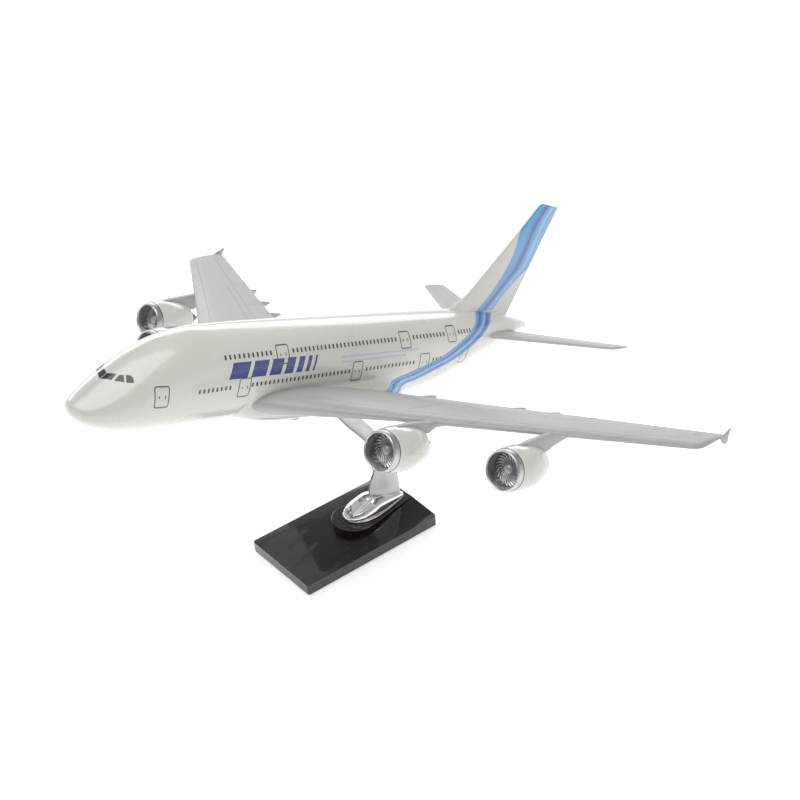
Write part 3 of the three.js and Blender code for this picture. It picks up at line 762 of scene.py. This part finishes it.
def fence_body():
    outline = spline(FENCE + FENCE[:1], 60)[:-1]
    middle = outline.mean(0)
    rings = []
    for x, share in ((0, 0.9), (0.045, 1), (0.12, 1), (0.16, 0.9)):
        flat = middle + (outline - middle) * share
        rings.append(np.stack([np.full(len(flat), WING.tip - 0.03 + x), flat[:, 0], flat[:, 1]], -1))
    return loft(rings)


def build_wings():
    wing = WING.body(90, 40)
    lines = merged(*wing_lines())
    dots = merged(*rivets())
    pods = flap_fairings()
    fence = fence_body()
    tail = TAIL.body(44, 30)
    tail_lines = merged(*[
        TAIL.line([(2.6, 0.68), (14.4, 0.66)], 0.05),
        TAIL.line([(2.6, 0.68), (14.4, 0.66)], 0.05, -1),
        TAIL.line([(8.2, 0.67), (8.2, 0.98)], 0.05, steps=8),
        TAIL.line([(14.4, 0.66), (14.4, 0.98)], 0.05, steps=8),
    ])
    for side, hand in (("left", lambda b: b), ("right", mirror)):
        make(f"wing_panel_{side}", hand(wing), AIRCRAFT, M["grey"], "aircraft",
             (f"wing_{side}",), sharp=60)
        make(f"wing_lines_{side}", hand(lines), AIRCRAFT, M["line"], "aircraft")
        make(f"wing_rivets_{side}", hand(dots), AIRCRAFT, M["line"], "aircraft")
        make(f"flap_fairings_{side}", hand(pods), AIRCRAFT, M["grey"], "aircraft")
        make(f"fence_{side}", hand(fence), AIRCRAFT, M["grey"], "aircraft",
             (f"wingtip_fence_{side}",))
        make(f"tailplane_panel_{side}", hand(tail), AIRCRAFT, M["grey"], "aircraft",
             (f"tailplane_{side}",), sharp=60)
        make(f"tailplane_lines_{side}", hand(tail_lines), AIRCRAFT, M["line"], "aircraft")


# Front and rear edges of the blue panel on the fin, as (height, station).
FLAG_FRONT = [(4.6, 58.9), (6.6, 61.2), (9.0, 63.2), (11.0, 64.4), (12.5, 64.95), (13.4, 65.1),
              (14.8, 65.6), (16.4, 66.9), (17.75, 68.7)]
FLAG_REAR = [(4.6, 62.6), (6.2, 64.0), (7.6, 65.8), (8.7, 67.3), (9.7, 68.9)]


def build_fin():
    make("fin_panel", FIN.body(60, 36), AIRCRAFT, M["white"], "aircraft", ("fin",),
         sharp=60)
    front, rear = np.array(FLAG_FRONT), np.array(FLAG_REAR)
    rows, columns = 70, 21
    z = np.linspace(front[0, 0], front[-1, 0], rows)
    ahead = smooth_rows(front[:, 0], front[:, 1], z)
    behind = np.interp(z, rear[:, 0], rear[:, 1])
    limit = FIN.trail(z) - 0.05
    behind = np.where(z < rear[-1, 0], np.minimum(behind, limit), limit)
    share = np.linspace(0, 1, columns)
    s = ahead[:, None] + (behind - ahead)[:, None] * share
    lead = FIN.at(z, 0 * z, 1)[..., 1]
    t = np.clip((s - lead[:, None]) / (FIN.trail(z) - lead)[:, None], 0.01, 0.995)
    values = np.tile(share, rows)
    for side, sign in (("left", 1), ("right", -1)):
        points = FIN.at(z[:, None], t, sign, LIFT).reshape(-1, 3)
        make(f"fin_ribbon_{side}", (points, grid_faces(rows, columns)), AIRCRAFT, M["flag"],
             "aircraft", attributes={"across": values})


# ---------------------------------------------------------------- engines
def turned(profile, sides=72):
    """A closed ring profile of (radius, distance behind the inlet) turned about the engine axis."""
    p = np.array(profile, float)
    a = np.linspace(0, 2 * math.pi, sides, endpoint=False)
    points = np.stack(np.broadcast_arrays(
        p[None, :, 0] * np.cos(a)[:, None], p[None, :, 1], p[None, :, 0] * np.sin(a)[:, None],
    ), -1)
    rows, columns = points.shape[:2]
    faces = []
    for i in range(rows):
        for j in range(columns):
            k, n = (j + 1) % columns, (i + 1) % rows
            faces.append((i * columns + j, i * columns + k, n * columns + k, n * columns + j))
    return points.reshape(-1, 3), faces


def dome(profile, sides=48):
    """A profile from the axis to the axis, turned into a closed body."""
    p = np.array(profile, float)
    p[:, 0] = np.maximum(p[:, 0], 0.004)
    a = np.linspace(0, 2 * math.pi, sides, endpoint=False)
    rings = np.stack(np.broadcast_arrays(
        p[:, None, 0] * np.cos(a), p[:, None, 1], p[:, None, 0] * np.sin(a),
    ), -1)
    return loft(rings)


LIP = [(1.745, 0.76), (1.75, 0.45), (1.8, 0.16), (1.88, 0.045), (1.97, 0.05), (2.05, 0.25), (2.11, 0.76)]
COWL = [(2.13, 0.8), (2.27, 1.6), (2.32, 2.6), (2.2, 3.9), (1.9, 5.1), (1.62, 5.9)]
DUCT = [(1.53, 5.88), (1.62, 4.6), (1.69, 3.2), (1.72, 1.8), (1.73, 0.8)]
COWL_ROWS, DUCT_ROWS = 34, 20
BLADES = 24


def blade(turn):
    """One curved fan blade: a thin closed strip swept round as it runs out to the tip."""
    rings = []
    for f in np.linspace(0, 1, 9):
        r = 0.6 + 1.08 * f
        pitch = math.radians(28 + 34 * f)
        chord = 0.36 + 0.04 * math.sin(math.pi * f)
        swing = turn + 0.42 * f**1.6 - 0.1
        ring = []
        for u, side in ((-1, 0), (-0.5, 1), (0.5, 1), (1, 0), (0.5, -1), (-0.5, -1)):
            thick = 0.03 * side
            arc = chord / 2 * u * math.sin(pitch) + thick * math.cos(pitch)
            s = 1.42 + chord / 2 * u * math.cos(pitch) - thick * math.sin(pitch) + 0.05 * (u * u)
            a = swing + arc / r
            ring.append((r * math.cos(a), s, r * math.sin(a)))
        rings.append(ring)
    return loft(rings)


def fan_body():
    blades = [blade(2 * math.pi * k / BLADES) for k in range(BLADES)]
    nose = [(0.004, 0.8), (0.26, 0.83), (0.48, 0.96), (0.62, 1.18), (0.66, 1.4), (0.65, 1.7)]
    hub = dome(np.vstack([spline(nose, 24), [(0.3, 1.75), (0.004, 1.75)]]))
    backing = turned([(0.5, 1.66), (1.68, 1.66), (1.68, 1.72), (0.5, 1.72)], 48)
    return merged(*blades), hub, backing


def core_body():
    outer = spline([(0.9, 2.75), (1.02, 4.0), (1.0, 5.2), (0.9, 6.2), (0.74, 6.9)], 20)
    inner = np.array([(0.68, 6.9), (0.78, 6.0), (0.8, 5.6), (0.004, 5.6)])
    casing = dome(np.vstack([[(0.004, 2.3), (1.64, 2.3), (1.64, 2.6)], outer, inner]))
    plug = dome(np.vstack([[(0.004, 5.7), (0.5, 5.7)],
                           spline([(0.5, 6.5), (0.46, 7.0), (0.3, 7.6), (0.06, 7.98)], 14)]))
    return merged(casing, plug)


def pylon_body(spec):
    a = float(wing_edge(np.array(spec["x"]))) - spec["s"]
    b = float(wing_edge_z(spec["x"])) - spec["z"]
    top = np.array([(1.6, 2.12), (2.6, 2.5), (4.4, 2.52 + 0.3 * (b - 2.2)), (a, b + 0.12),
                    (a + 1.2, b + 0.22), (a + 5.2, b - 0.05), (a + 6.5, b - 0.42)])
    low = np.array([(1.6, 1.9), (3.0, 2.0), (4.6, 1.8), (5.9, 1.3), (6.9, 1.1), (8.2, 1.6),
                    (a + 4.0, b - 0.75), (a + 6.5, b - 0.5)])
    s = np.linspace(1.62, a + 6.48, 60)
    high = smooth_rows(top[:, 0], top[:, 1], s)
    under = np.minimum(smooth_rows(low[:, 0], low[:, 1], s), high - 0.04)
    share = np.linspace(0, 1, len(s))
    wide = 0.4 * np.minimum(1, (share / 0.2 + 0.02)) ** 0.5 * np.minimum(1, (1.02 - share) / 0.45) ** 0.7
    around = np.linspace(0, 2 * math.pi, 24, endpoint=False)
    x = np.sign(np.cos(around)) * np.abs(np.cos(around)) ** 0.6
    z = np.sign(np.sin(around)) * np.abs(np.sin(around)) ** 0.6
    middle, reach = (high + under) / 2, (high - under) / 2
    rings = np.stack(np.broadcast_arrays(
        wide[:, None] * x, s[:, None], middle[:, None] + reach[:, None] * z,
    ), -1)
    return loft(rings)


ENGINES = [
    {"name": "1", "side": 1, "x": 26.8, "s": 31.1, "z": -2.75},
    {"name": "2", "side": 1, "x": 17.5, "s": 23.6, "z": -3.05},
    {"name": "3", "side": -1, "x": 17.5, "s": 23.6, "z": -3.05},
    {"name": "4", "side": -1, "x": 26.8, "s": 31.1, "z": -2.75},
]


def build_engines():
    lip = turned(np.vstack([spline(LIP, 30), [(1.93, 0.76)]]))
    end = [(1.58, 5.93)]
    cowl = turned(np.vstack([spline(COWL, COWL_ROWS), end, spline(DUCT, DUCT_ROWS)]))
    rows = COWL_ROWS + len(end) + DUCT_ROWS
    seam = turned([(2.112, 0.74), (2.14, 0.745), (2.14, 0.8), (2.112, 0.8)])
    blades, hub, backing = fan_body()
    core = core_body()
    for spec in ENGINES:
        n = spec["name"]
        place = AIRCRAFT @ Matrix.Translation((spec["side"] * spec["x"], spec["s"], spec["z"]))
        piece = make(f"cowl_shell_{n}", cowl, place, [M["white"], M["duct"]], "aircraft",
                     (f"cowl_{n}",))
        inner = [int(k % rows > COWL_ROWS) for k in range(len(piece.data.polygons))]
        piece.data.polygons.foreach_set("material_index", inner)
        make(f"lip_ring_{n}", lip, place, M["silver"], "aircraft",
             (f"inlet_lip_{n}",))
        make(f"lip_joint_{n}", seam, place, M["rim"], "aircraft")
        make(f"core_exhaust_{n}", core, place, M["dark"], "aircraft",
             (f"engine_core_{n}",))
        make(f"fan_blades_{n}", blades, place, M["blade"], f"fan_{n}",
             (f"fan_{n}",))
        make(f"fan_spinner_{n}", hub, place, M["spinner"], f"fan_{n}")
        make(f"fan_backing_{n}", backing, place, M["duct"], f"fan_{n}")
        body = pylon_body(spec)
        make(f"pylon_strut_{n}", body, place, M["grey"], "aircraft", (f"pylon_{n}",),
             sharp=60)


PLUG_STATION = 30


def build_plug():
    """The round cap below the belly, turned about its own axis and then stood upright."""
    low = FAIRING["centre"] - FAIRING["depth"]
    place = AIRCRAFT @ Matrix.Translation((0, PLUG_STATION, low)) @ Matrix.Rotation(-math.pi / 2, 4, "X")
    profile = spline([(0.004, 1.0), (0.4, 0.96), (0.7, 0.82), (0.82, 0.6), (0.83, 0.3), (0.83, 0.05)], 30)
    body = dome(np.vstack([profile, [(0.83, 0.03), (0.41, 0.02), (0.41, -0.6), (0.004, -0.6)]]), 40)
    make("plug_cap", body, place, M["grey"], "aircraft", ("belly_plug",))


# ---------------------------------------------------------------- stand
BOARD = {
    "half": 35.2, "back": 58.5, "low": 1.1, "top": 9.2, "ridge": 2.5, "ridge_half": 5.5, "corner": 2.0,
}
PLINTH = {"radius": 17.4, "centre": 9.6, "rise": 6.5, "back_rise": 3.0, "back_half": 6.5}
FOOT = {"length": 54.0, "front": 1.2, "lip": 1.2}
ARM_TOP = 100.4
ARM_ROWS = 90
ARM_FRONT = [
    (22.9, 14), (26.5, 28), (30.3, 36), (31.2, 48), (28.6, 59), (22.9, 69), (12, 84), (1.9, ARM_TOP),
]
ARM_REAR = [
    (52.8, 6), (51, 26.7), (48.2, 40), (42.5, 56), (33.3, 72.8), (26.3, 83), (19.4, 93.9), (16.2, ARM_TOP),
]
# Crest height and half width of the foot against the distance from its front.
CREST = np.array([(0, 0.1), (1, 2.8), (3, 4.9), (7, 7.4), (15, 10.4), (23, 12.4), (30, 11.2), (38, 8.6),
                  (46, 5.6), (54, 0.6)])
FOOT_PLAN = np.array([(0, 0.3), (1, 4.6), (3, 7.6), (7, 10.4), (13, 12.1), (20, 12.3), (30, 10.6), (40, 8),
                      (48, 5.4), (52, 3.3), (54, 0.5)])
TILT = math.atan((PLINTH["rise"] - PLINTH["back_rise"])
                 / (BOARD["back"] - PLINTH["centre"] + PLINTH["radius"]))


def bevelled(name, points, width, replaces):
    """A convex wooden body with eased, lighter edges."""
    b = bmesh.new()
    for p in points:
        b.verts.new(p)
    bmesh.ops.convex_hull(b, input=b.verts)
    bmesh.ops.delete(b, geom=[v for v in b.verts if not v.link_faces], context="VERTS")
    bmesh.ops.dissolve_limit(b, angle_limit=math.radians(0.5), verts=b.verts, edges=b.edges)
    b.faces.ensure_lookup_table()
    pts = [tuple(v.co) for v in b.verts]
    b.verts.index_update()
    faces = [tuple(v.index for v in f.verts) for f in b.faces]
    b.free()
    piece = make(name, (pts, faces), STAND, [M["wood"], M["edge"]], "stand", replaces)
    mod = piece.modifiers.new("eased", "BEVEL")
    mod.width = width
    mod.segments = 3
    mod.limit_method = "ANGLE"
    mod.angle_limit = math.radians(24)
    mod.material = 1
    mod.harden_normals = True
    return piece


def board_points():
    points = []
    corner = BOARD["corner"]
    for i, j in ((-1, -1), (1, -1), (1, 1), (-1, 1)):
        for k in range(7):
            a = math.radians(15 * k)
            x = i * (BOARD["half"] - corner + corner * math.sin(a))
            y = j * (BOARD["back"] - corner + corner * math.cos(a))
            points += [(x, y, BOARD["low"]), (x, y, BOARD["top"])]
    ridge = BOARD["top"] + BOARD["ridge"]
    return points + [(i * BOARD["ridge_half"], BOARD["back"], ridge) for i in (-1, 1)]


def plinth_points():
    r, c = PLINTH["radius"], PLINTH["centre"]
    points = []
    reach = math.hypot(PLINTH["back_half"], BOARD["back"] - c)
    start = math.atan2(BOARD["back"] - c, PLINTH["back_half"]) - math.acos(r / reach)
    plan = [(s * PLINTH["back_half"], BOARD["back"] - 0.05) for s in (1, -1)]
    for a in np.linspace(math.pi - start, 2 * math.pi + start, 49):
        plan.append((r * math.cos(a), c + r * math.sin(a)))
    front = c - r
    for x, y in plan:
        top = BOARD["top"] + PLINTH["rise"] - (y - front) * math.tan(TILT)
        points += [(x, y, BOARD["top"] + 0.02), (x, y, top)]
    return points


def foot_body():
    """The chrome foot: a boat-shaped dome with a raised rim round it."""
    rows, rings = 140, []
    length, lip = FOOT["length"], FOOT["lip"]
    for i in range(rows + 1):
        y = length * (1 - math.cos(math.pi * i / rows)) / 2
        y = min(max(y, 0.02), length - 0.02)
        root = math.sqrt(y)
        edge = float(smooth_rows(np.sqrt(FOOT_PLAN[:, 0]), FOOT_PLAN[:, 1], root))
        high = float(smooth_rows(np.sqrt(CREST[:, 0]), CREST[:, 1], root))
        ring = [(edge, y, 0), (edge, y, lip * 0.8), (edge * 0.985, y, lip * 1.05),
                (edge * 0.95, y, lip * 1.1), (edge * 0.925, y, lip * 0.9)]
        for k in range(0, 25):
            a = math.pi * k / 24
            ring.append((edge * 0.91 * math.cos(a), y, lip * 0.7 + high * math.sin(a) ** 0.65))
        ring += [(-x, yy, z) for x, yy, z in reversed(ring[:5])]
        rings.append(ring)
    return loft(rings)


ARM_RIM = [(0, 0), (0.5, 0.08), (0.8, 0.35)]
ARM_SWELL = 2.2
ARM_FLARE = {"swell": 1.7, "low": 14, "reach": 4}
FACE_STEPS = 13


def arm_body():
    """The curved plate: gently convex satin faces between narrow polished edges."""
    front, rear = spline(ARM_FRONT, ARM_ROWS), spline(ARM_REAR, ARM_ROWS)
    rings = []
    for f, r in zip(front, rear):
        width = np.linalg.norm(r - f)
        along = (r - f) / width
        height = (f[1] + r[1]) / 2
        flare = ARM_FLARE["swell"] * math.exp(-max(0.0, height - ARM_FLARE["low"]) / ARM_FLARE["reach"])
        face = []
        for share in np.linspace(0, 1, FACE_STEPS + 2)[1:-1]:
            half = ARM_RIM[-1][0] + (ARM_SWELL + flare) * math.sin(math.pi * share) ** 0.8
            face.append((half, share * width))
        side = ARM_RIM + face + [(x, width - d) for x, d in reversed(ARM_RIM)]
        around = side + [(-x, d) for x, d in reversed(side[1:-1])]
        rings.append([(x, *(f + along * d)) for x, d in around])
    return loft(rings), len(side)


def build_stand():
    bevelled("base_block", board_points(), 0.0009, ("base_board",))
    bevelled("plinth_block", plinth_points(), 0.0006, ("plinth",))
    drop = (FOOT["front"] - PLINTH["centre"] + PLINTH["radius"]) * math.tan(TILT)
    seat = (0, FOOT["front"], BOARD["top"] + PLINTH["rise"] - drop + 0.3)
    place = STAND @ Matrix.Translation(seat) @ Matrix.Rotation(-TILT, 4, "X")
    make("foot_dome", foot_body(), place, M["chrome"], "stand", ("stand_foot",), sharp=60)
    body, columns = arm_body()
    lifted = STAND @ Matrix.Translation((0, 0, BOARD["top"]))
    arm = make("arm_plate", body, lifted, [M["satin"], M["rim"]], "stand",
               ("stand_arm",), sharp=30)
    per_ring = 2 * columns - 2
    edge = len(ARM_RIM) - 1
    rim = []
    for k in range(len(arm.data.polygons)):
        j = k % per_ring
        from_edge = min(j, per_ring - 1 - j, abs(2 * j + 1 - per_ring) // 2)
        rim.append(int(from_edge < edge and k < (ARM_ROWS - 1) * per_ring))
    arm.data.polygons.foreach_set("material_index", rim)


# ---------------------------------------------------------------- studio
def area(name, place, aim, size, power, tint=(1, 1, 1)):
    data = bpy.data.lights.new(name, "AREA")
    data.shape = "RECTANGLE"
    data.size, data.size_y = size
    data.energy = power
    data.color = tint
    light = bpy.data.objects.new(name, data)
    light.location = place
    light.rotation_euler = (Vector(aim) - Vector(place)).to_track_quat("-Z", "Y").to_euler()
    bpy.context.scene.collection.objects.link(light)


def build_studio():
    mesh = bpy.data.meshes.new("studio_floor")
    reach = 6.0
    mesh.from_pydata([(-reach, -reach, 0), (reach, -reach, 0), (reach, reach, 0), (-reach, reach, 0)],
                     [], [(0, 1, 2, 3)])
    s = Shader("pale floor")
    s.set(Base_Color=tinted(s, (0.86, 0.86, 0.86), (0.88, 0.88, 0.88), 3), Roughness=0.9)
    s.set(Emission_Color=(1, 1, 1, 1), Emission_Strength=0.55)
    mesh.materials.append(s.material)
    floor = bpy.data.objects.new("studio_floor", mesh)
    bpy.context.scene.collection.objects.link(floor)
    build_sky()
    area("overhead", (0.1, -0.1, 1.5), (0, 0, 0.15), (1.6, 1.6), 14)
    area("front_left", (-0.9, -1.3, 0.9), (0, 0, 0.15), (0.8, 0.8), 0.5)
    area("rear_left", (-1.65, 1.1, 0.7), (0, 0, 0.02), (3.0, 0.6), 14)


def build_sky():
    """An even white room, dimmer half way up so the glossy base stays dark."""
    world = bpy.data.worlds.new("studio")
    world.use_nodes = True
    nodes, links = world.node_tree.nodes, world.node_tree.links
    parts = nodes.new("ShaderNodeSeparateXYZ")
    links.new(nodes.new("ShaderNodeTexCoord").outputs["Generated"], parts.inputs[0])
    ramp = nodes.new("ShaderNodeValToRGB")
    links.new(parts.outputs["Z"], ramp.inputs["Fac"])
    shades = ((0.0, 1.0), (0.4, 0.85), (0.54, 0.34), (0.66, 0.24), (0.9, 1.0))
    while len(ramp.color_ramp.elements) < len(shades):
        ramp.color_ramp.elements.new(0.5)
    for element, (at, shade) in zip(ramp.color_ramp.elements, shades):
        element.position = at
        element.color = (shade, shade, shade, 1)
    links.new(ramp.outputs["Color"], nodes["Background"].inputs["Color"])
    nodes["Background"].inputs["Strength"].default_value = 0.52
    bpy.context.scene.world = world


CAMERA = {
    "place": (0.6746, -0.4249, 0.6155), "yaw": 54.276, "pitch": 32.119, "roll": 5.203, "focal": 60.85,
}


def build_camera():
    yaw, pitch, roll = (math.radians(CAMERA[k]) for k in ("yaw", "pitch", "roll"))
    forward = Vector((-math.sin(yaw) * math.cos(pitch), math.cos(yaw) * math.cos(pitch), -math.sin(pitch)))
    right = forward.cross(Vector((0, 0, 1))).normalized()
    down = forward.cross(right)
    x = math.cos(roll) * right + math.sin(roll) * down
    y = math.sin(roll) * right - math.cos(roll) * down
    camera = bpy.data.objects.new("camera", bpy.data.cameras.new("camera"))
    camera.data.sensor_width = 36
    camera.data.lens = CAMERA["focal"]
    camera.data.clip_start = 0.01
    camera.matrix_world = Matrix.Translation(CAMERA["place"]) @ Matrix((x, y, -forward)).transposed().to_4x4()
    bpy.context.scene.collection.objects.link(camera)
    bpy.context.scene.camera = camera


build_camera()
build_fuselage()
build_windows()
build_doors()
build_cockpit()
build_ribbon()
build_marks()
build_wings()
build_fin()
build_engines()
build_plug()
build_stand()
build_studio()
bpy.context.scene.view_settings.view_transform = "Standard"

bpy.context.view_layer.update()
